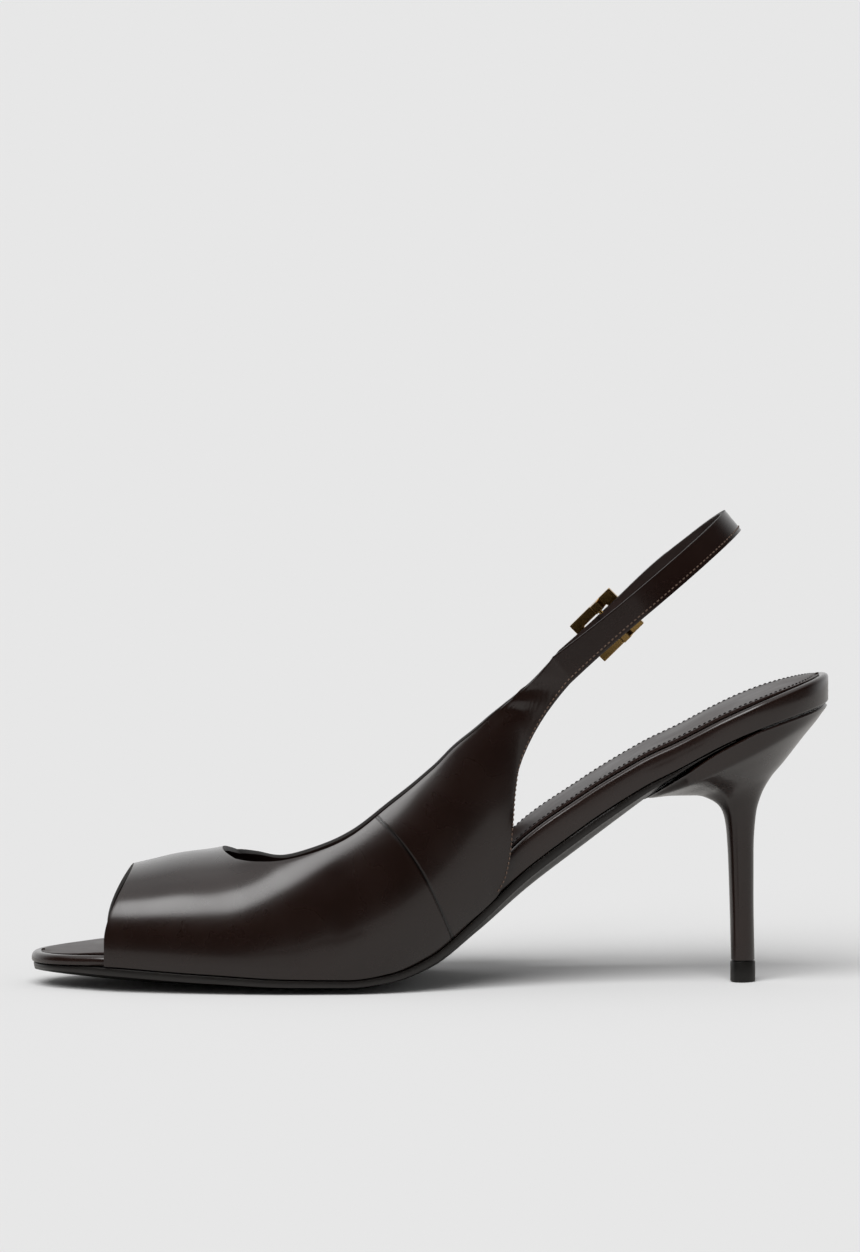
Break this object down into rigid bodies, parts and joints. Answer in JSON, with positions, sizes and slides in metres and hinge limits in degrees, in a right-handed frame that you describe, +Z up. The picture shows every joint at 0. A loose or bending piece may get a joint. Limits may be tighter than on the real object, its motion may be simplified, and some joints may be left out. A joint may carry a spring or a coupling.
{
  "type": "slingback sandal",
  "caption": "Open-toe slingback sandal in polished dark leather, on a slim high heel, with a buckled strap round the back of the heel.",
  "frame": {"origin": "on the floor, under the middle of the shoe's length and width", "axes": "+X from the toe to the heel, +Y towards the outer (buckle) side, +Z up"},
  "size_m": [0.2256, 0.0816, 0.1338],
  "materials": {
    "leather": "polished",
    "leather_edge": "polished",
    "sock": "satin",
    "outsole": "satin",
    "heel_cover": "gloss",
    "tip": "satin",
    "gold": "polished"
  },
  "bodies": {
    "root": {"outsole": "outsole", "insole_board": "leather_edge", "sock_lining": "sock", "heel": "heel_cover", "heel_tip": "tip", "upper": "leather", "buckle_frame": "gold", "buckle_pin": "gold"}
  },
  "joints": []
}
